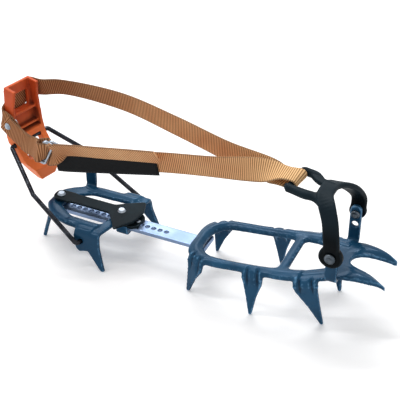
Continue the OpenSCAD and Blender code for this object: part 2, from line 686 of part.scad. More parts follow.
// Bail: one wire from ear to ear through the lever
axle_half = lever_half + wire_d / 2 + 1.6;
knee_in = 4.6;
foot_in = 9.5;
module rod(a, b, d) {
    v = b - a;
    translate(a) rotate([0, acos(v[2] / norm(v)), atan2(v[1], v[0])]) cylinder(d = d, h = norm(v));
}
// Round bend of a wire at corner b of a path a-b-c
module elbow(a, b, c, d, r) {
    u = unit(b - a);
    v = unit(c - b);
    turn = acos(u * v);
    mid = b + unit(v - u) * r / cos(turn / 2);
    ex = unit(b - u * r * tan(turn / 2) - mid);
    ez = cross(ex, u);
    multmatrix([[ex[0], u[0], ez[0], mid[0]], [ex[1], u[1], ez[1], mid[1]], [ex[2], u[2], ez[2], mid[2]]])
        rotate_extrude(angle = turn) translate([r, 0]) circle(d = d + bend_swell);
}
// Distance from a corner to where its bend starts
function bend_back(a, b, c, r) = r * tan(acos(unit(b - a) * unit(c - b)) / 2);
module bent_wire(p, d, r) {
    last = len(p) - 1;
    backs = [for (i = [0:last]) i == 0 || i == last ? 0 : bend_back(p[i - 1], p[i], p[i + 1], r) - bend_lap];
    for (i = [0:last - 1])
        let (u = unit(p[i + 1] - p[i])) rod(p[i] + u * backs[i], p[i + 1] - u * backs[i + 1], d);
    for (i = [1:last - 1]) elbow(p[i - 1], p[i], p[i + 1], d, r);
}
wire_bend = 0.7 * wire_d;
// The wire swells slightly where it is bent, and its straights run a little into the bends
bend_swell = 0.12;
bend_lap = 0.3;
module heel_bail() {
    foot = [0, leg_half, pivot_z];
    rise = [-knee_back, -knee_in, knee_z - pivot_z];
    far_leg = [foot - [0, foot_in, 0], foot, foot + rise * (1 + knee_skew), [-axle_back, axle_half, axle_z]];
    near_leg = [far_leg[0], far_leg[1], foot + rise * (1 - knee_skew), far_leg[3]];
    route = concat(far_leg, [for (p = backwards(near_leg)) [p[0], -p[1], p[2]]]);
    color("#4b5258") placed() on_heel() bent_wire(route, wire_d, wire_bend);
}

// Lever: open channel towards the boot, with a nose that sits on the heel welt
lever_top = shoulder_z + lever_h;
module lever_side() {
    polygon([[lever_rear, lever_top], [lever_rear, shoulder_z + 5], [lever_rear + 2, shoulder_z - 2], [lever_u, shoulder_z - 6],
        [lever_u + 6, shoulder_z - 17], [lever_u + 10, shoulder_z - 27], [lever_u + 17, shoulder_z - 34], [lever_u + 23, shoulder_z - 33],
        [lever_u + 24, shoulder_z - 20], [lever_u + 12, shoulder_z - 12], [lever_u + 4.5, shoulder_z], [lever_u + 3, shoulder_z + 10],
        [lever_u + 2.5, shoulder_z + 34], [lever_u + 5, lever_top - 1]]);
}
module lever_front() {
    polygon([[-lever_top_half, lever_top], [-lever_half, shoulder_z + 2], [-lever_half, shoulder_z - 16], [-7, shoulder_z - 35],
        [7, shoulder_z - 35], [lever_half, shoulder_z - 16], [lever_half, shoulder_z + 2], [lever_top_half, lever_top]]);
}
module lever_inner() {
    polygon([[-lever_top_half + lever_wall, lever_top + 1], [-lever_half + lever_wall, shoulder_z + 6],
        [lever_half - lever_wall, shoulder_z + 6], [lever_top_half - lever_wall, lever_top + 1]]);
}
lever_ribs = [lever_top - 28, shoulder_z + 8];
module lever_slice(from_x, to_x) {
    translate([from_x, 0, 0]) rotate([90, 0, 90]) linear_extrude(to_x - from_x) children();
}
module heel_lever() {
    floor_x = lever_rear + lever_wall;
    color(orange) placed() on_heel() difference() {
        union() {
            difference() {
                intersection() {
                    translate([0, -30, 0]) upright(60) lever_side();
                    lever_slice(lever_u - 20, lever_u + 40) lever_front();
                }
                lever_slice(floor_x, lever_u + 40) lever_inner();
                translate([lever_rear - 1, -9, lever_top - 25]) cube([lever_wall + 2, 18, 15]);
                translate([lever_u + 9, 0, shoulder_z - 7]) rotate([90, 0, 0]) translate([0, 0, -11]) cylinder(r = 9, h = 22);
            }
            for (z = lever_ribs) intersection() {
                translate([floor_x - 0.5, -lever_half, z]) cube([5, 2 * lever_half, 2.4]);
                lever_slice(floor_x - 1, floor_x + 20) lever_front();
            }
        }
        translate([-axle_back, lever_half + 5, axle_z]) rotate([90, 0, 0]) cylinder(d = wire_d + 2 * run_gap, h = 2 * lever_half + 10);
        translate([rivet_at[0], -lever_half - 5, rivet_at[1]]) rotate([-90, 0, 0]) cylinder(r = 1.6 + run_gap, h = 12);
    }
}

// Strap fittings on the lever
rivet_at = [lever_u + 0.5, shoulder_z + 19];
function lever_half_at(z) = lever_half + (lever_top_half - lever_half) * (z - shoulder_z - 2) / (lever_h - 2);
wrap_y = lever_half_at(rivet_at[1]) + soft_gap + strap_t / 2 + 0.4;
wrap_bulge = 0.4;
buckle_y = wrap_y + strap_t + soft_gap + wrap_bulge;
module strap_rivet() {
    color("#3a3f45") placed() on_heel() translate([rivet_at[0], 0, rivet_at[1]]) rotate([90, 0, 0]) {
        translate([0, 0, lever_half_at(rivet_at[1]) - lever_wall - 1.6]) cylinder(r = 2.6, h = 1);
        translate([0, 0, lever_half_at(rivet_at[1]) - lever_wall - 1]) cylinder(r = 1.6, h = lever_wall + buckle_y - wrap_y + 4);
        translate([0, 0, buckle_y + strap_t / 2 + 0.25]) cylinder(r1 = 3.2, r2 = 2.2, h = 1.2);
    }
}
module rivet_hole() {
    on_heel() translate([rivet_at[0], -buckle_y - 5, rivet_at[1]]) rotate([-90, 0, 0]) cylinder(r = 2, h = 12);
}

// Buckle rings: two wire rectangles in the fold of the short strap
ring_mid = heel_point([lever_u + ring_out, -buckle_y - 2.2, shoulder_z + 13]);
module wire_ring(mid, wide, deep, turn) {
    p = [[deep, 0, wide] / 2, [deep, 0, -wide] / 2, [-deep, 0, -wide] / 2, [-deep, 0, wide] / 2];
    back = ring_bend - bend_lap;
    translate(mid) rotate([0, 26.5, 0]) rotate([0, 0, turn]) for (i = [0:3])
        let (a = p[i], b = p[(i + 1) % 4], c = p[(i + 2) % 4], u = unit(b - a)) {
            rod(a + u * back, b - u * back, ring_d);
            elbow(a, b, c, ring_d, ring_bend);
        }
}
ring_wide = strap_w + 3.5;
ring_bend = 0.8 * ring_d;
module buckle_ring_upper() {
    color(steel) placed() wire_ring(ring_mid + [-1.5, -1.8, 1], ring_wide, 8, 12);
}
module buckle_ring_lower() {
    color(steel) placed() wire_ring(ring_mid + [1.5, 1.8, 0], ring_wide, 8, 12);
}

webbing = flat_section(strap_w, strap_t);
function heel_points(list) = [for (p = list) heel_point(p)];

// Short strap from the lever's rivet to the rings
module buckle_strap() {
    points = heel_points([[lever_u - 6, -buckle_y, rivet_at[1] + 5], [rivet_at[0], -buckle_y, rivet_at[1]],
        [lever_u + 16, -buckle_y - 1, shoulder_z + 14], [lever_u + ring_out - 20, -buckle_y - 1.5, shoulder_z + 12],
        [lever_u + ring_out - 8, -buckle_y - 2, shoulder_z + 12]]);
    color(tan_web) placed() difference() {
        swept(points, [[0.3, 0, 1], [0.25, 0, 1], [0.2, 0, 1], [0.1, 0, 1], [-0.2, 0, 1]], webbing, 4);
        rivet_hole();
    }
}

// Long strap: from the lever's rivet round its back, along the far side to the strap bar
fold_d = strap_bar_d + 2 * soft_gap + strap_t;
back_x = lever_rear - soft_gap - strap_t / 2 - 0.3;
// Where the strap turns round the lever's rear corners
corner_u = lever_rear - 1;
function corner_v(z) = lever_half_at(z) + 1.2;
module strap_far_run() {
    points = concat(heel_points([[lever_u + 8, -wrap_y - 0.3, shoulder_z + 14], [rivet_at[0], -wrap_y, rivet_at[1]],
        [corner_u, -corner_v(shoulder_z + 23), shoulder_z + 23], [back_x - 0.7, -lever_top_half + 3, shoulder_z + 25],
        [back_x - 0.5, 0, shoulder_z + 30], [back_x - 0.7, lever_top_half - 3, shoulder_z + 36],
        [corner_u, corner_v(shoulder_z + 39), shoulder_z + 39], [lever_u + 6, lever_top_half + 5, shoulder_z + 42]]),
        [[heel_x - 67, 46, 116], [heel_x - 10, 47, 115], [-84, 32, 114], [-26, 14, 113]],
        [loop_mid - up * fold_d / 2 + [-24, 6, 0.6], loop_mid - up * fold_d / 2 + [-8, 0.6, 0], loop_mid - up * fold_d / 2]);
    color(tan_web) placed() difference() {
        swept(points, [[0.3, 0, 1], [0.25, 0, 1], [0.2, 0, 1], up, up, up, up, up, up, up, up, [0, 0.1, 1], [0, 0.6, 0.8], loop_dir, loop_dir],
            webbing, 4);
        rivet_hole();
    }
}

// Near side of the long strap: round the strap bar and back to the rings
near_route = [[-26, -3.5, 110.5], [-82, -5.5, 101.5], ring_mid + [47, 1.8, 3.5], ring_mid + [17, 0.3, -3.5],
    ring_mid + [7.6, -0.1, -5]];
module strap_near_run() {
    bend = [for (a = [0:30:180]) loop_mid + fold_d / 2 * (sin(a) * [1, 0, 0] - cos(a) * up)];
    points = concat(bend, [loop_mid + up * fold_d / 2 - [9, 0.3, 0.2], loop_mid + up * fold_d / 2 - [30, 0.3, 3.4]], near_route);
    widths = concat([for (p = bend) loop_dir], [loop_dir, [0, 0.6, 0.8], [0, 0.1, 1], up, up, up, [-0.3, 0, 1]]);
    color(tan_web) placed() swept(points, widths, webbing, 3);
}

// Free end of the strap, back out of the rings on the near side, leaning out at its top
tail_route = [for (p = [[8.5, -8, 10], [16.5, -8, 11.8], [59.5, -6.6, 19.4], [91.5, -5.4, 24.6], [105.5, -5, 26.8]]) ring_mid + p];
tail_lean = [0, -0.5, 0.87];
module strap_tail() {
    color(tan_web) placed() swept(tail_route, [for (p = tail_route) tail_lean], webbing, 4);
}

// Bare black band on the near side of the strap, a little lower at its toe end
module strap_label() {
    out = [0, -(strap_t + label_t) / 2 - soft_gap, 0];
    points = [for (i = [1:3]) near_route[i] + out - [0, 0, 4 - i]];
    color(black) placed() swept(points, [up, up, up], flat_section(strap_w, label_t), 4);
}

front_frame();
toe_harness();
toe_rivet_near();
toe_rivet_far();
link_bar();
heel_frame();
bar_guide();
guide_rivets();
adjuster_plate();
plate_rivet();
lock_pin();
heel_bail();
heel_lever();
strap_rivet();
buckle_strap();
buckle_ring_upper();
buckle_ring_lower();
strap_far_run();
strap_near_run();
strap_tail();
strap_label();
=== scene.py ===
import math
import bmesh
import bpy
from mathutils import Matrix, Vector
from mathutils.bvhtree import BVHTree
from mathutils.kdtree import KDTree


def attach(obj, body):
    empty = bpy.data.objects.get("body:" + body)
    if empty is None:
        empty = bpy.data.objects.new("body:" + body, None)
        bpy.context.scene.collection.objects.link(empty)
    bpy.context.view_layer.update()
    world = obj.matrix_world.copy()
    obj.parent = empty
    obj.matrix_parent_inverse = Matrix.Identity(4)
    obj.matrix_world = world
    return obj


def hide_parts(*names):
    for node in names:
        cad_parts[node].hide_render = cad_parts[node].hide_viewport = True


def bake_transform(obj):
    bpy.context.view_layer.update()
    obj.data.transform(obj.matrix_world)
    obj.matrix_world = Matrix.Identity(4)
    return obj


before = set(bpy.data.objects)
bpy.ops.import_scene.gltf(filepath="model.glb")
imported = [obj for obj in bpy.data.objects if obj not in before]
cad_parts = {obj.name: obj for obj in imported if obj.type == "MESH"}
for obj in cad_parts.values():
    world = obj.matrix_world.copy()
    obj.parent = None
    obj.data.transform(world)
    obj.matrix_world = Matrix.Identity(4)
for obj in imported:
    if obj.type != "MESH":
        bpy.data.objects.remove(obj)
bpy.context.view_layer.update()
scene = bpy.context.scene
scene.view_settings.view_transform = "Standard"

# Camera: a long lens on the near side and ahead of the middle, which looks down on the straps
# at about 35 degrees.
camera = bpy.data.objects.new("camera", bpy.data.cameras.new("camera"))
scene.collection.objects.link(camera)
scene.camera = camera
camera.data.sensor_width = 36
camera.data.lens = 94.617
aim, distance = Vector((0.02681, -0.02747, 0.08752)), 0.817
turn, lift, lean = (math.radians(a) for a in (24.931, 35.338, -0.18))
back = Vector((math.sin(turn) * math.cos(lift), -math.cos(turn) * math.cos(lift), math.sin(lift)))
right = Vector((math.cos(turn), math.sin(turn), 0))
view = Matrix((right, back.cross(right), back)).transposed() @ Matrix.Rotation(lean, 3, "Z")
camera.matrix_world = Matrix.Translation(aim + distance * back) @ view.to_4x4()


# Floor: one wide sheet of pale studio paper with no edge in view. It shows a touch brighter to
# the camera, so that it reads as white around the soft shadow.
class Shade:
    """A socket of a material's nodes. Sums and products of it add Math nodes."""

    def __init__(self, tree, socket=None):
        self.tree = tree
        self.socket = socket

    def feed(self, node, sockets):
        """Links or sets sockets of a node."""
        for name, value in sockets.items():
            if isinstance(value, Shade):
                self.tree.links.new(value.socket, node.inputs[name])
            else:
                node.inputs[name].default_value = value

    def node(self, kind, settings, sockets, result=0):
        """One result of a new node."""
        made = self.tree.nodes.new("ShaderNode" + kind)
        for name, value in settings.items():
            setattr(made, name, value)
        self.feed(made, sockets)
        return Shade(self.tree, made.outputs[result])

    def math(self, operation, *others):
        """This and any others through a Math node."""
        return self.node("Math", {"operation": operation}, dict(enumerate((self, *others))))

    def __add__(self, other):
        return self.math("ADD", other)

    def __mul__(self, other):
        return self.math("MULTIPLY", other)

    def __sub__(self, other):
        return self.math("SUBTRACT", other)

    def __rsub__(self, other):
        return self.node("Math", {"operation": "SUBTRACT"}, {0: other, 1: self})

    __radd__ = __add__
    __rmul__ = __mul__

    def step(self, low, high):
        """From 0 at low to 1 at high, with soft ends."""
        return self.node("MapRange", {"interpolation_type": "SMOOTHSTEP"},
                         {"Value": self, "From Min": low, "From Max": high})

    def mix(self, a, b, blend="MIX"):
        """Colour a where this is 0, and b, or a blended with it, where this is 1."""
        settings = {"data_type": "RGBA", "blend_type": blend}
        return self.node("Mix", settings, {0: self, 6: a, 7: b}, 2)

    def cloud(self, scale, detail=2.0, rough=0.5):
        """Soft noise of so many patches a metre, from 0 to 1."""
        sockets = {"Vector": self, "Scale": scale, "Detail": detail, "Roughness": rough}
        return self.node("TexNoise", {}, sockets, "Fac")

    def bump(self, depth, strength=1.0):
        """Surface normal of a relief that is so many metres deep."""
        sockets = {"Height": self, "Distance": depth, "Strength": strength}
        return self.node("Bump", {}, sockets, "Normal")


def finish_named(name):
    """New material: itself, a place to start its nodes, and its main shader."""
    made = bpy.data.materials.new(name)
    made.use_nodes = True
    return made, Shade(made.node_tree), made.node_tree.nodes["Principled BSDF"]


def tint(red, green, blue):
    """Linear colour of one that is read off a screen in steps of 255."""
    linear = (((c / 255 + 0.055) / 1.055) ** 2.4 if c > 10 else c / 255 / 12.92
              for c in (red, green, blue))
    return (*linear, 1)


def object_from(bm, name, material):
    """Object at the origin that takes over a mesh being built."""
    mesh = bpy.data.meshes.new(name)
    bm.to_mesh(mesh)
    bm.free()
    mesh.materials.append(material)
    made = bpy.data.objects.new(name, mesh)
    scene.collection.objects.link(made)
    return made


paper, nodes, shader = finish_named("studio_paper")
seen = nodes.node("LightPath", {}, {}, "Is Camera Ray")
nodes.feed(shader, {"Base Color": (0.93, 0.93, 0.935, 1), "Roughness": 0.9,
                    "Specular IOR Level": 0.0,
                    "Emission Color": seen.mix((0, 0, 0, 1), (0.19, 0.19, 0.19, 1)),
                    "Emission Strength": 1.0})
bm = bmesh.new()
bmesh.ops.create_grid(bm, x_segments=1, y_segments=1, size=4)
object_from(bm, "floor", paper)

# Studio light: an even white room, one broad lamp high behind the heel, and two long soft boxes,
# one behind and one overhead, whose reflections draw the bright lines on the rails and wires.
room = bpy.data.worlds.new("room")
scene.world = room
room.use_nodes = True
nodes = Shade(room.node_tree)
seen, mirrored, through_glass = (nodes.node("LightPath", {}, {}, name) for name in (
    "Is Camera Ray", "Is Glossy Ray", "Is Transmission Ray"))
shown = seen.math("MAXIMUM", mirrored).math("MAXIMUM", through_glass)
nodes.feed(room.node_tree.nodes["Background"], {"Color": (1, 1, 1, 1),
                                                "Strength": 0.5 + 0.42 * shown})


def lamp(name, kind, place, towards, **settings):
    """Adds a lamp that stands at a place and faces another."""
    light = bpy.data.lights.new(name, kind)
    for key, value in settings.items():
        setattr(light, key, value)
    made = bpy.data.objects.new(name, light)
    scene.collection.objects.link(made)
    aimed = (Vector(towards) - Vector(place)).to_track_quat("-Z", "Y")
    made.matrix_world = Matrix.Translation(place) @ aimed.to_matrix().to_4x4()


lamp("broad_lamp", "SUN", (-0.7, 0.75, 1.25), (0, 0, 0), energy=1.35, angle=math.radians(46))
lamp("long_box_behind", "AREA", (-0.3, 0.6, 1.1), (0, 0, 0.05), energy=4.5, shape="RECTANGLE",
     size=1.2, size_y=0.09)
lamp("long_box_overhead", "AREA", (-0.45, -0.2, 1.2), (0, 0, 0.05), energy=4.0, shape="RECTANGLE",
     size=0.035, size_y=0.8)

# Frames: two pressings of hardened steel sheet. They are blanked, folded, tumbled so that every
# edge is eased, and coated with a thin deep blue enamel. The enamel is rubbed lighter along the
# edges, where a painted highlight lies as well, and its inside corners carry painted shade.
weld = 2e-6


def soften(bm, places, passes):
    """Draws places of a mesh towards those around them, so many times."""
    for _ in range(passes):
        bmesh.ops.smooth_vert(bm, verts=places, factor=0.5,
                              use_axis_x=True, use_axis_y=True, use_axis_z=True)


def eased(node, name, voxel, passes):
    """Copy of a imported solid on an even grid, with its edges and inside corners eased."""
    source = bpy.data.objects.new(name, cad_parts[node].data.copy())
    scene.collection.objects.link(source)
    bm = bmesh.new()
    bm.from_mesh(source.data)
    bmesh.ops.remove_doubles(bm, verts=bm.verts, dist=weld)
    bm.to_mesh(source.data)
    remesh = source.modifiers.new("grid", "REMESH")
    remesh.mode = "VOXEL"
    remesh.voxel_size = voxel
    worked_out = source.evaluated_get(bpy.context.evaluated_depsgraph_get())
    gridded = bpy.data.meshes.new_from_object(worked_out)
    bpy.data.objects.remove(source)
    bm.clear()
    bm.from_mesh(gridded)
    bpy.data.meshes.remove(gridded)
    soften(bm, bm.verts, passes)
    bm.normal_update()
    return bm


def rounded(bm, rails, passes):
    """Eases the places that rails picks further, until the rails are round and their ribs soft."""
    soften(bm, [v for v in bm.verts if rails(v.co)], passes)


def crowned(bm, rails, rise, half):
    """Domes the tops of the places that rails picks, as on a pressed rail of that half width."""
    level, evening = 0.4, 14
    bm.normal_update()
    flanks = [v.co.copy() for v in bm.verts if abs(v.normal.z) < level and rails(v.co)]
    tree = KDTree(len(flanks))
    for i, co in enumerate(flanks):
        tree.insert(co, i)
    tree.balance()
    tops = [v for v in bm.verts if v.normal.z > level and rails(v.co)]
    lift = {v: 1 - (1 - min(1, tree.find(v.co)[2] / half)) ** 2 for v in tops}
    around = {v: [e.other_vert(v) for e in v.link_edges] for v in tops}
    for _ in range(evening):
        lift = {v: (lift[v] + sum(lift.get(n, 0) for n in near)) / (1 + len(near))
                for v, near in around.items()}
    for v, share in lift.items():
        v.co.z += rise * share


def neighbours(bm):
    """Numbers of the places that each place of a mesh is joined to."""
    bm.verts.index_update()
    return [[e.other_vert(v).index for e in v.link_edges] for v in bm.verts]


def spread(values, around, passes):
    """Values averaged with those around them, so many times."""
    for _ in range(passes):
        values = [(value + sum(values[i] for i in near)) / (1 + len(near))
                  for value, near in zip(values, around)]
    return values


def marked(bm, reach):
    """Stores how far each place stands proud of those around it, and shades the mesh as one skin.

    0.5 is flat, less is an inside corner, and 1 is an edge that stands proud by half the reach.
    """
    edge = bm.verts.layers.float.new("edge")
    bm.normal_update()
    around = neighbours(bm)
    places = [v.co for v in bm.verts]
    middles = [sum((places[i] for i in near), Vector()) / len(near) for near in around]
    proud = [(v.co - middle).dot(v.normal) for v, middle in zip(bm.verts, middles)]
    for v, p in zip(bm.verts, spread(proud, around, 3)):
        v[edge] = min(1.0, max(0.0, 0.5 + p / reach))
    for f in bm.faces:
        f.smooth = True


enamel, nodes, shader = finish_named("blue_enamel")
place = nodes.node("TexCoord", {}, {}, "Object")
edge = nodes.node("Attribute", {"attribute_name": "edge"}, {}, "Fac")
broad = place.cloud(38, 3).step(0.3, 0.72)
fine = place.cloud(420, 3)
grit = place.cloud(2400, 2)
coat = broad.mix(tint(22, 63, 92), tint(31, 79, 112))
# Painted shade: darker in inside corners and in the flute grooves.
coat = ((0.5 - edge).step(0.08, 0.45) * 0.8).mix(coat, tint(9, 33, 52))
# Rubbed lighter along proud edges, which is also a painted highlight.
rubbed_edge_highlight = (edge + 0.5 * (fine - 0.5)).step(0.68, 0.96)
coat = (rubbed_edge_highlight * 0.7).mix(coat, tint(100, 152, 192))
bare = (edge + 0.9 * (fine - 0.5)).step(0.97, 1.12)
coat = (bare * 0.6).mix(coat, tint(150, 165, 178))
nodes.feed(shader, {"Base Color": coat, "Metallic": 0.1 + 0.4 * bare,
                    "Roughness": 0.17 + 0.1 * fine - 0.04 * rubbed_edge_highlight, "Specular IOR Level": 0.16,
                    "Normal": (grit + 2 * fine).bump(0.00004, 0.5)})


def fluted(bm, edge, heading, pitch, long):
    """Presses two short grooves over a fold that starts at edge and runs by heading and pitch."""
    fold_out, deep, reach, spacing = 0.0055, 0.0016, 0.02, 0.24 * long
    on_top, down_flank, fade_top, fade_flank = 0.002, 0.009, 0.004, 0.007
    h, p = math.radians(heading), math.radians(pitch)
    along = Vector((math.cos(h) * math.cos(p), math.sin(h) * math.cos(p), math.sin(p)))
    out = Vector((math.sin(h), -math.cos(h), 0))
    up = out.cross(along)
    for v in bm.verts:
        apart = v.co - edge
        if apart.length > reach:
            continue
        u, y, z = apart.dot(along), apart.dot(out), apart.dot(up) + fold_out
        if y < -on_top or z < -down_flank:
            continue
        normal = up if y < 0 else out if z < 0 else (y * out + z * up).normalized()
        share = min(1, (y + on_top) / fade_top, (z + down_flank) / fade_flank)
        wide = 0.0006 + 0.0010 * share
        for at in (-spacing, spacing):
            v.co -= normal * deep * share * math.exp(-((u - at) / wide) ** 2)


def spot(x, y, z):
    """Place in metres of one in millimetres from the ground under the front frame's middle."""
    front_x, front_y = 65.1185, 6.57
    return Vector((x + front_x, y - front_y, z)) / 1000


def on_rails(co):
    """Whether a place is near the top of the front rails, which rise to the toe on a long arc."""
    rear, front, low, radius = -0.06, 0.066, 0.0276, 0.7
    arc = (co.x - spot(-89, 0, 0).x) ** 2 / (2 * radius)
    return rear < co.x - spot(0, 0, 0).x < front and co.z > low + arc


bm = eased("front_frame", "front_pressing", voxel=0.00053, passes=9)
rounded(bm, on_rails, passes=12)
crowned(bm, lambda co: on_rails(co) and co.x < spot(50, 0, 0).x, rise=0.0015, half=0.0044)
rounded(bm, on_rails, passes=6)
point_long, point_inset, point_splay, point_crown = 0.039, 0.0163, 0.002, 0.0014
for v in bm.verts:
    ahead = (v.co.x - spot(74, 0, 0).x) / point_long
    if 0 < ahead < 1 and v.co.z < spot(0, 0, 64).z:
        off_middle = abs(v.co.y - spot(0, 0, 0).y) - point_inset - point_splay * ahead
        aside = off_middle / (0.0078 - 0.0055 * ahead)
        v.co.z += point_crown * min(1, 4 * ahead) * max(0, 1 - aside * aside)
near_folds = ((-38, -24.5, 34.44, -28, 3.354, 0.018), (11, -28.5, 39.711, -1.5, 8.088, 0.018),
              (54, -29.5, 47.148, 12, 11.537, 0.02))
for x, y, z, heading, pitch, long in near_folds:
    fluted(bm, spot(x, y, z), heading, pitch, long)
    fluted(bm, spot(x, -y, z), 180 - heading, -pitch, long)
marked(bm, reach=0.0001)
front = object_from(bm, "front_pressing", enamel)
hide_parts("front_frame")
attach(front, "front")

heel_turn, heel_x = math.radians(-14.5), -132.901


def at_heel_top(co):
    """Whether a place is at the height of the heel's rails."""
    return 0.029 < co.z < 0.037


def on_heel_rails(co):
    """Whether a place is on the heel's side rails, clear of the latch plate."""
    apart = co - spot(heel_x, 0, 0)
    along = apart.x * math.cos(heel_turn) + apart.y * math.sin(heel_turn)
    aside = apart.y * math.cos(heel_turn) - apart.x * math.sin(heel_turn)
    plate_x, plate_half = 0.008, 0.012
    return at_heel_top(co) and along < plate_x and abs(aside) > plate_half


bm = eased("heel_frame", "heel_pressing", voxel=0.0005, passes=10)
rounded(bm, at_heel_top, passes=12)
crowned(bm, on_heel_rails, rise=0.0011, half=0.0044)
rounded(bm, at_heel_top, passes=4)
marked(bm, reach=0.0001)
heel = object_from(bm, "heel_pressing", enamel)
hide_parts("heel_frame")
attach(heel, "heel")

# Toe harness: one moulding of tough black rubbery plastic, smooth from the mould with soft rims.
# A painted highlight lies along the rims, and a painted bluish sheen makes the upper part over its
# arch lighter. Two rivets hold its bosses to the posts.
rubber, nodes, shader = finish_named("black_moulding")
place = nodes.node("TexCoord", {}, {}, "Object")
edge = nodes.node("Attribute", {"attribute_name": "edge"}, {}, "Fac")
patch = place.cloud(60, 3)
grain = place.cloud(1800, 2)
body = patch.step(0.35, 0.7).mix(tint(5, 9, 12), tint(10, 16, 20))
# Painted highlight: lighter along the rims.
body = (edge.step(0.6, 0.95) * 0.4).mix(body, tint(40, 52, 60))
# Painted sheen: lighter and bluer on the upper part.
top_sheen = nodes.node("SeparateXYZ", {}, {"Vector": place}, "Z").step(0.088, 0.112)
body = (top_sheen * 0.7).mix(body, tint(30, 43, 51))
nodes.feed(shader, {"Base Color": body, "Roughness": 0.36 + 0.16 * patch + 0.08 * (grain - 0.5),
                    "Specular IOR Level": 0.05, "Normal": grain.bump(0.00003, 0.5)})
bm = eased("toe_harness", "harness_moulding", voxel=0.0005, passes=4)
bar_middle, bar_across = spot(33.5, -4, 117), Vector((0.15, 1, 0.01))
bar_line = bar_across.normalized()
bar_half, drawn_in = 0.0112, 0.017
for v in bm.verts:
    apart = v.co - bar_middle
    reach = apart.dot(bar_line)
    ahead = (apart - reach * bar_line).length
    spare = abs(reach) - bar_half
    if spare > 0 and ahead < drawn_in and v.co.x < bar_middle.x + drawn_in:
        t = ahead / drawn_in
        v.co -= math.copysign(spare * 0.5 * (1 - t * t * (3 - 2 * t)), reach) * bar_line
bm.normal_update()
arm_half, arm_low, arm_end = 0.0108, 0.1, bar_middle.x + 0.026
swell, fade_in, fade_out = 0.0011, 0.0015, 0.012
for v in bm.verts:
    spare = abs((v.co - bar_middle).dot(bar_line)) - arm_half
    if spare > 0 and v.co.x < arm_end and v.co.z > arm_low:
        v.co += swell * min(1, spare / fade_in, (arm_end - v.co.x) / fade_out) * v.normal
soften(bm, bm.verts, 5)
marked(bm, reach=0.00007)
harness = object_from(bm, "harness_moulding", rubber)
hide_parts("toe_harness")
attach(harness, "harness")

# Toe rivets: cold-headed steel that has dulled, each with a rounded head and the shallow dimple
# that the setting tool leaves. They are set through the harness bosses and the posts.
same_place = 1e-7


def lathe(name, centre, axis, profile, material, body, node):
    """Turned piece. Its profile is radius and height pairs in millimetres, along the axis."""
    bm = bmesh.new()
    points = [bm.verts.new((r / 1000, 0, h / 1000)) for r, h in profile]
    line = [bm.edges.new(pair) for pair in zip(points, points[1:])]
    bmesh.ops.spin(bm, geom=points + line, cent=(0, 0, 0), axis=(0, 0, 1), angle=math.tau,
                   steps=40, use_merge=True)
    bmesh.ops.remove_doubles(bm, verts=bm.verts, dist=same_place)
    bmesh.ops.recalc_face_normals(bm, faces=bm.faces)
    stand = Vector(axis).to_track_quat("Z", "Y").to_matrix().to_4x4()
    bmesh.ops.transform(bm, matrix=Matrix.Translation(centre) @ stand, verts=bm.verts)
    for f in bm.faces:
        f.smooth = True
    made = object_from(bm, name, material)
    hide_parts(node)
    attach(made, body)


def steel_named(name, dark, light, rough):
    """Material of a plain steel that varies between two colours."""
    made, nodes, shader = finish_named(name)
    place = nodes.node("TexCoord", {}, {}, "Object")
    stain = place.cloud(260, 3)
    rub = place.cloud(1500, 2)
    nodes.feed(shader, {"Base Color": stain.step(0.3, 0.75).mix(dark, light), "Metallic": 1.0,
                        "Roughness": rough + 0.2 * stain, "Normal": rub.bump(0.00003, 0.6)})
    return made


plated = steel_named("plated_steel", tint(136, 146, 158), tint(184, 192, 202), 0.24)
dulled = steel_named("dulled_steel", tint(66, 74, 82), tint(104, 112, 120), 0.3)
rivet_profile = [(0, -2.6), (1.3, -2.7), (1.9, -3.5), (2.7, -3.7), (3.4, -3.3), (3.6, -1.78),
                 (2.5, -1.78), (2.5, 6.97), (4.4, 6.97), (4.4, 7.7), (3.9, 8.5), (3.1, 8.9),
                 (2.4, 8.85), (1.7, 8.3), (0, 8.1)]
for side, name in ((-1, "near"), (1, "far")):
    lathe("toe_rivet_" + name + "_set", spot(73.5, side * 28.25, 76.5), (0, side, 0), rivet_profile,
          dulled, "front", "toe_rivet_" + name)

# Link bar: bright flat spring steel with eased edges and a row of length holes. Drawing leaves
# faint lines along it.
bright, nodes, shader = finish_named("bright_steel")
place = nodes.node("TexCoord", {}, {}, "Object")
drawn = nodes.node("Mapping", {}, {"Vector": place, "Scale": (6, 300, 300)}).cloud(9, 3)
mist = place.cloud(50, 3)
blued = mist.step(0.3, 0.75).mix(tint(128, 150, 184), tint(156, 177, 208))
nodes.feed(shader, {"Base Color": blued, "Metallic": 0.85, "Roughness": 0.3 + 0.16 * drawn,
                    "Normal": drawn.bump(0.00003, 0.4)})
bm = eased("link_bar", "length_bar", voxel=0.0004, passes=3)
marked(bm, reach=0.00012)
bar = object_from(bm, "length_bar", bright)
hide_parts("link_bar")
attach(bar, "bar")

# Length latch: a black oxide spring plate that is riveted at the rear, with a pin that drops in
# the bar, and a black guide that is riveted to the front stirrup.
oxide, nodes, shader = finish_named("black_oxide")
place = nodes.node("TexCoord", {}, {}, "Object")
edge = nodes.node("Attribute", {"attribute_name": "edge"}, {}, "Fac")
patch = place.cloud(70, 3)
grain = place.cloud(1600, 2)
skin = patch.step(0.3, 0.75).mix(tint(17, 27, 33), tint(26, 39, 46))
skin = ((edge + 0.4 * (grain - 0.5)).step(0.7, 0.95) * 0.7).mix(skin, tint(92, 108, 118))
nodes.feed(shader, {"Base Color": skin, "Metallic": 0.05, "Roughness": 0.4 + 0.14 * patch,
                    "Specular IOR Level": 0.06, "Normal": grain.bump(0.00003, 0.5)})
for node, name, body in (("adjuster_plate", "latch_plate", "latch"),
                         ("bar_guide", "bar_guide_block", "heel")):
    bm = eased(node, name, voxel=0.0004, passes=4)
    marked(bm, reach=0.00012)
    made = object_from(bm, name, oxide)
    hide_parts(node)
    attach(made, body)
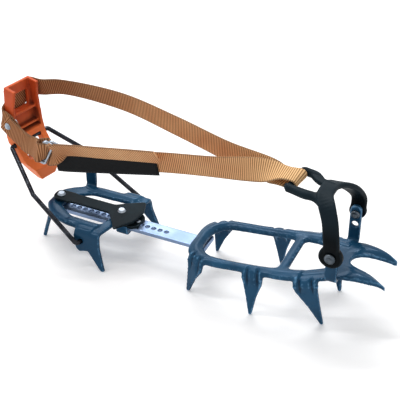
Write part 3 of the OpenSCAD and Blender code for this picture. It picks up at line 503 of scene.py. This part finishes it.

# Heel bail: one length of spring steel wire, bent cold, with a drawn shine. Its dark colour is a
# painted reflection of dark surroundings.
wire, nodes, shader = finish_named("spring_wire")
place = nodes.node("TexCoord", {}, {}, "Object")
scale = place.cloud(140, 3)
scratch = place.cloud(1200, 2)
# Painted reflection: the wire is coloured dark.
dark_reflection = scale.step(0.3, 0.75).mix(tint(36, 38, 43), tint(60, 63, 69))
nodes.feed(shader, {"Base Color": dark_reflection, "Metallic": 1.0, "Roughness": 0.15 + 0.08 * scale,
                    "Normal": scratch.bump(0.000003, 0.2)})
sharp_angle = math.radians(38)


def smooth_copy(node, name, material, body):
    """Copy of a packed round solid, merged and shaded as one skin up to its sharp edges."""
    bm = bmesh.new()
    bm.from_mesh(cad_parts[node].data)
    bmesh.ops.remove_doubles(bm, verts=bm.verts, dist=weld)
    for f in bm.faces:
        f.smooth = True
    for e in bm.edges:
        e.smooth = e.calc_face_angle(0) < sharp_angle
    made = object_from(bm, name, material)
    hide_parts(node)
    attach(made, body)


smooth_copy("heel_bail", "bail_wire", wire, "bail")

# Small fittings: the plated rivets of the latch, the guide and the strap, the latch's lock pin,
# and the two buckle rings, which are bent from plated wire.
for node, body in (("plate_rivet", "heel"), ("guide_rivets", "heel"), ("lock_pin", "latch"),
                   ("strap_rivet", "lever")):
    smooth_copy(node, node + "_set", plated, body)
for node in ("buckle_ring_upper", "buckle_ring_lower"):
    smooth_copy(node, node + "_wire", plated, "lever")


# Heel lever: a thick injection moulding in orange plastic that turns on the bail's cross wire.
# Its rims are rounded, rubbed paler and lit with a painted highlight; its nose is lightened by
# painted light, and its hollow and inside corners are darkened by painted shade.
def sheltered(bm, reach):
    """Stores what share of its outlook each place loses to walls of its own piece within reach."""
    count, off_skin = 32, 0.0004
    shelter = bm.verts.layers.float.new("shelter")
    bm.normal_update()
    walls = BVHTree.FromBMesh(bm)
    rays = []
    for i in range(count):
        height, turned = 1 - (2 * i + 1) / count, math.pi * (3 - 5 ** 0.5) * i
        wide = (1 - height * height) ** 0.5
        rays.append(Vector((wide * math.cos(turned), wide * math.sin(turned), height)))
    lost = []
    for v in bm.verts:
        start = v.co + off_skin * v.normal
        outward = [(ray, ray.dot(v.normal)) for ray in rays if ray.dot(v.normal) > 0]
        hit = sum(facing for ray, facing in outward if walls.ray_cast(start, ray, reach)[0])
        lost.append(hit / sum(facing for _, facing in outward))
    for v, share in zip(bm.verts, spread(lost, neighbours(bm), 4)):
        v[shelter] = share


plastic, nodes, shader = finish_named("orange_plastic")
place = nodes.node("TexCoord", {}, {}, "Object")
edge = nodes.node("Attribute", {"attribute_name": "edge"}, {}, "Fac")
flow = place.cloud(42, 3)
grain = place.cloud(2000, 2)
scuff = nodes.node("Mapping", {}, {"Vector": place, "Scale": (900, 900, 90)}).cloud(1, 3)
body = flow.step(0.3, 0.75).mix(tint(194, 76, 36), tint(212, 92, 46))
# Painted light: the lower nose is lighter.
nose_light = 1 - nodes.node("SeparateXYZ", {}, {"Vector": place}, "Z").step(0.074, 0.094)
body = (nose_light * 0.8).mix(body, tint(248, 130, 68))
# Painted shade: darker where walls of the lever shelter the surface.
hollow_shade = nodes.node("Attribute", {"attribute_name": "shelter"}, {}, "Fac")
body = (hollow_shade.step(0.22, 0.62) * 0.8).mix(body, tint(98, 52, 40))
# Painted shade: darker in inside corners.
body = (0.5 - edge).step(0.05, 0.45).mix(body, tint(116, 54, 36))
# Rubbed paler along the rims, which is also a painted highlight.
body = ((edge + 0.3 * (scuff - 0.5)).step(0.62, 0.95) * 0.7).mix(body, tint(230, 120, 70))
nodes.feed(shader, {"Base Color": body, "Roughness": 0.36 + 0.12 * flow + 0.1 * (scuff - 0.5),
                    "Specular IOR Level": 0.15, "Subsurface Weight": 0.06,
                    "Subsurface Radius": (0.004, 0.0015, 0.0008), "Subsurface Scale": 0.6,
                    "Normal": (grain + scuff).bump(0.00003, 0.5)})
bm = eased("heel_lever", "lever_moulding", voxel=0.0005, passes=6)
sheltered(bm, reach=0.02)
marked(bm, reach=0.00012)
lever = object_from(bm, "lever_moulding", plastic)
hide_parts("heel_lever")
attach(lever, "lever")

# Safety strap: tan nylon webbing, 19 mm wide, with ribs across it and a firm woven edge. Painted
# light makes it lighter towards the toe and painted shade darker towards the heel. It is riveted to
# the lever, runs along the far side, round the harness bar and back to the rings, and its tail is
# free. It is cut into lengths that meet edge to edge; the first and the last go with the lever and
# the harness.
strap_wide, strap_thick = 0.019, 0.0016


def through(points, values, steps):
    """Values at even steps of each span of a smooth curve, whose pace follows the points' gaps."""
    last = len(points) - 1
    gap = [(b - a).length ** 0.5 for a, b in zip(points, points[1:])]
    slope = []
    for i in range(last + 1):
        back, ahead = max(i - 1, 0), min(i, last - 1)
        one = (values[back + 1] - values[back]) / gap[back]
        two = (values[ahead + 1] - values[ahead]) / gap[ahead]
        slope.append((one * gap[ahead] + two * gap[back]) / (gap[back] + gap[ahead]))
    made = []
    for i in range(last):
        for j in range(steps):
            t = j / steps
            made.append((1 + 2 * t) * (1 - t) ** 2 * values[i]
                        + t * (1 - t) ** 2 * gap[i] * slope[i]
                        + t * t * (3 - 2 * t) * values[i + 1]
                        + t * t * (t - 1) * gap[i] * slope[i + 1])
    return made + [values[last]]


def strip(points, sides, wide, thick, steps):
    """Webbing along a curve, and its length. Sides point across it.

    Each place keeps where it lies across and along the weave.
    """
    route = through(points, points, steps)
    across = through(points, sides, steps)
    last = len(route) - 1
    run = [0.0]
    for a, b in zip(route, route[1:]):
        run.append(run[-1] + (b - a).length)
    shares = (-1, -0.97, -0.92, -0.84, -0.6, -0.3, 0, 0.3, 0.6, 0.84, 0.92, 0.97, 1)
    flat, rim = 0.88, 0.12
    top = [(s, 1 - max(0, abs(s) - flat) / rim) for s in shares]
    section = [(s, t ** 0.5) for s, t in top]
    section += [(s, -t ** 0.5) for s, t in reversed(top[1:-1])] + top[:1]
    bm = bmesh.new()
    weave = bm.verts.layers.float_vector.new("weave")
    bmesh.ops.create_grid(bm, x_segments=len(section) - 1, y_segments=last, size=0.5)
    for v in bm.verts:
        share, rise = section[round((v.co.x + 0.5) * (len(section) - 1))]
        row = round((v.co.y + 0.5) * last)
        forward = (route[min(row + 1, last)] - route[max(row - 1, 0)]).normalized()
        side = (across[row] - across[row].dot(forward) * forward).normalized()
        v[weave] = (share * wide / 2, run[row], 0)
        v.co = route[row] + share * wide / 2 * side + rise * thick / 2 * forward.cross(side)
    bmesh.ops.remove_doubles(bm, verts=bm.verts, dist=same_place)
    bmesh.ops.holes_fill(bm, edges=[e for e in bm.edges if e.is_boundary], sides=0)
    bmesh.ops.recalc_face_normals(bm, faces=bm.faces)
    for f in bm.faces:
        f.smooth = True
    return bm, run[-1]


def webbing_named(name, dark, light, valley):
    """Material of ribbed webbing between two colours, with shade in the valleys of its ribs."""
    rib_pitch, pick_pitch = 0.0017, 0.0011
    made, nodes, shader = finish_named(name)
    weave = nodes.node("Attribute", {"attribute_name": "weave"}, {}, "Vector")
    apart = nodes.node("SeparateXYZ", {}, {"Vector": weave}, "X")
    along = Shade(nodes.tree, apart.socket.node.outputs["Y"])
    place = nodes.node("TexCoord", {}, {}, "Object")
    rib = ((along * (math.tau / rib_pitch)).math("SINE") + 1) * 0.5
    pick = ((apart * (math.tau / pick_pitch)).math("SINE") + 1) * 0.5
    fuzz = place.cloud(1500, 3)
    wear = place.cloud(28, 2)
    selvedge = apart.math("ABSOLUTE").step(strap_wide / 2 - 0.0013, strap_wide / 2 - 0.0004)
    along_foot = nodes.node("SeparateXYZ", {}, {"Vector": place}, "X")
    yarn = wear.step(0.3, 0.7).mix(dark, light)
    # Painted light: lighter towards the toe.
    yarn = along_foot.step(0.02, 0.11).mix(yarn, tint(240, 197, 144))
    # Painted shade: darker towards the heel.
    yarn = ((0 - along_foot).step(0.04, 0.15) * 0.75).mix(yarn, tint(162, 106, 72))
    yarn = ((1 - rib).step(0.4, 0.95) * (0.95 + 0.05 * pick)).mix(yarn, valley, "MULTIPLY")
    yarn = (selvedge * 0.55).mix(yarn, tint(118, 96, 76))
    relief = rib + 0.08 * pick + 0.2 * fuzz
    nodes.feed(shader, {"Base Color": yarn, "Roughness": 0.66 + 0.2 * fuzz, "Sheen Weight": 0.03,
                        "Sheen Roughness": 0.4, "Specular IOR Level": 0.06,
                        "Normal": relief.bump(0.00018, 0.8)})
    return made


webbing = webbing_named("tan_webbing", tint(218, 156, 110), tint(238, 186, 138),
                        (0.3, 0.24, 0.19, 1))


def by_heel(u, v, z):
    """Place of one in millimetres along and across the turned heel, and up."""
    return spot(heel_x + u * math.cos(heel_turn) - v * math.sin(heel_turn),
                u * math.sin(heel_turn) + v * math.cos(heel_turn), z)


# The bodies that the webbing passes on its way to the toe, and where it leaves each for the next.
links = ("lever", "bail", "heel", "bar", "front", "harness")
stations = [spot(x, 0, 0).x for x in (-150, -124, -98, -64, -28, 12)]


def hung(bm, name, material, wide, node):
    """Cuts a run of webbing at the stations. The rearmost length goes with the lever and the
    foremost with the harness; the others stay where they lie.
    """
    one_face, shortest = 0.45, 0.01
    cuts = [None, *stations, None]
    for k, (low, high) in enumerate(zip(cuts, cuts[1:])):
        part = bm.copy()
        for at, keep_front in ((low, True), (high, False)):
            if at is None:
                continue
            bmesh.ops.bisect_plane(part, geom=part.verts[:] + part.edges[:] + part.faces[:],
                                   plane_co=(at, 0, 0), plane_no=(1, 0, 0),
                                   clear_inner=keep_front, clear_outer=not keep_front)
        if len(part.faces) == 0:
            part.free()
            continue
        ends = [e for e in part.edges if e.is_boundary]
        for e in ends:
            e.smooth = False
        bmesh.ops.holes_fill(part, edges=ends, sides=0)
        bmesh.ops.recalc_face_normals(part, faces=part.faces)
        long = one_face * sum(f.calc_area() for f in part.faces) / wide
        made = object_from(part, name + "_" + str(k + 1), material)
        if low is None or high is None:
            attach(made, links[0] if low is None else links[-1])
        else:
            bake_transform(made)
        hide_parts(node)
    bm.free()


# Across the turned heel lie the far run's start and the buckle, and along it the lever's back.
wrap, buckle, rear = -17.9, -20.26, -105.45
loop_radius = 0.00365
rings = by_heel(-46, buckle - 2.2, 86)
under = bar_middle - Vector((0, 0, loop_radius))
upright, leaning = Vector((0, 0, 1)), Vector((-0.3, 0, 1))
far_points = [by_heel(-88, wrap - 0.3, 87), by_heel(-95.5, wrap, 92), by_heel(-105, -17.29, 96),
              by_heel(rear - 0.7, -11.2, 98), by_heel(rear - 0.5, 0, 103),
              by_heel(rear - 0.7, 11.2, 109), by_heel(-105, 16.21, 112), by_heel(-90, 19.2, 115),
              spot(-199.9, 46, 116), spot(-142.9, 47, 115), spot(-84, 32, 114), spot(-26, 14, 113),
              under + Vector((-0.024, 0.0064, 0.0016)), under + Vector((-0.008, 0.0006, 0.0004)),
              under]
far_sides = [Vector((0.3, 0, 1)), Vector((0.25, 0, 1)), Vector((0.2, 0, 1))] + [upright] * 3
far_sides += [Vector((0, -0.1, 1)), Vector((0, -0.3, 0.95)), Vector((0, -0.33, 0.94)),
              Vector((0, -0.14, 1)), upright, Vector((0, 0.1, 1)), Vector((0, 0.6, 0.8)),
              bar_across, bar_across]
bm, _ = strip(far_points, far_sides, strap_wide, strap_thick, steps=14)
hung(bm, "far_run", webbing, strap_wide, "strap_far_run")

over = bar_middle + Vector((0, 0, loop_radius))
turns = [math.radians(a) for a in range(0, 181, 30)]
near_points = [bar_middle + loop_radius * Vector((math.sin(a), 0, -math.cos(a))) for a in turns]
near_rear = [spot(-82, -5.5, 101.5), rings + Vector((0.047, 0.0018, 0.0035)),
             rings + Vector((0.017, 0.0003, -0.0035))]
near_points += [over - Vector((0.009, 0.0003, 0.0002)), over - Vector((0.03, 0.0003, 0.0034)),
                spot(-26, -3.5, 110.5), *near_rear, rings + Vector((0.0076, -0.0001, -0.005))]
near_sides = [bar_across] * 8 + [Vector((0, 0.6, 0.8)), Vector((0, 0.1, 1))]
near_sides += [upright] * 3 + [leaning]
bm, _ = strip(near_points, near_sides, strap_wide, strap_thick, steps=14)
hung(bm, "near_run", webbing, strap_wide, "strap_near_run")

tail_points = [rings + Vector(p) / 1000 for p in (
    (7.6, -0.1, -5), (5.1, 4.1, -4.6), (3.6, 4.75, -3.8), (2.7, 3.7, -2.8), (3.2, 1.5, -1.8),
    (5.2, -0.1, -0.3), (8.6, -3.2, 3), (13, -6.8, 8.4), (18.5, -8, 12.2), (59.5, -6.6, 19.4),
    (91.5, -5.4, 24.6), (105.5, -5, 26.8))]
ring_bar = Vector((0.446, 0, 0.895))
tail_sides = [leaning, Vector((0.1, 0, 1))] + [ring_bar] * 4
tail_sides += [Vector((0.3, -0.2, 0.9)), Vector((0.1, -0.42, 0.88))] + [Vector((0, -0.5, 0.87))] * 4
bm, _ = strip(tail_points, tail_sides, strap_wide, strap_thick, steps=12)
hung(bm, "free_tail", webbing, strap_wide, "strap_tail")

short_points = [by_heel(u, buckle + v, z) for u, v, z in (
    (-99.5, 0, 95), (-95.5, 0, 92), (-80, -1, 87), (-66, -1.5, 85), (-57, -1.3, 86),
    (-52, 0.2, 87.2), (-48.2, 0.6, 87.9), (-45.9, -1.8, 88.2), (-47.2, -5.4, 88.4),
    (-50.4, -8.2, 88.2), (-55, -6.6, 87.2), (-61, -4.1, 86), (-69, -3.3, 85.6), (-76, -3, 86.8))]
short_sides = [Vector((0.25, 0, 1))] * 4 + [Vector((0.4, 0, 1))] * 7 + [Vector((0.3, 0, 1))] * 3
bm, short_long = strip(short_points, short_sides, strap_wide, strap_thick, steps=12)
short = object_from(bm, "buckle_tab", webbing)
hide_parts("buckle_strap")
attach(short, "lever")

# Label: a bare black woven band with a fine twill, laid on the near run and sewn down by a line of
# thread along each edge.
band, nodes, shader = finish_named("black_band")
weave = nodes.node("Attribute", {"attribute_name": "weave"}, {}, "Vector")
apart = nodes.node("SeparateXYZ", {}, {"Vector": weave}, "X")
along = Shade(nodes.tree, apart.socket.node.outputs["Y"])
place = nodes.node("TexCoord", {}, {}, "Object")
twill_turn, stitch_turn = math.tau / 0.0006, math.tau / 0.0028
twill = ((along * twill_turn + apart * twill_turn).math("SINE") + 1) * 0.5
lint = place.cloud(900, 3)
off_middle = apart.math("ABSOLUTE")
sewn = off_middle.step(0.0070, 0.0073) * (1 - off_middle.step(0.0077, 0.0080))
stitch = sewn * (along * stitch_turn).math("SINE").step(-0.3, 0.1)
cloth = lint.step(0.35, 0.8).mix(tint(8, 9, 11), tint(19, 22, 25))
cloth = (stitch * 0.8).mix(cloth, tint(52, 58, 62))
nodes.feed(shader, {"Base Color": cloth, "Roughness": 0.55 + 0.2 * lint, "Sheen Weight": 0.04,
                    "Sheen Roughness": 0.4, "Specular IOR Level": 0.15,
                    "Normal": (0.4 * twill + stitch + 0.4 * lint).bump(0.00016, 0.7)})
label_wide, label_thick = 0.0175, 0.0009
label_points = [at + Vector((0, -0.0016, -0.001 * drop)) for at, drop in zip(
    (*near_rear, rings + Vector((0.009, 0, -0.0047))), (3, 2, 1, 1))]
bm, _ = strip(label_points, [upright] * 3 + [leaning], label_wide, label_thick, steps=20)
hung(bm, "black_label", band, label_wide, "strap_label")
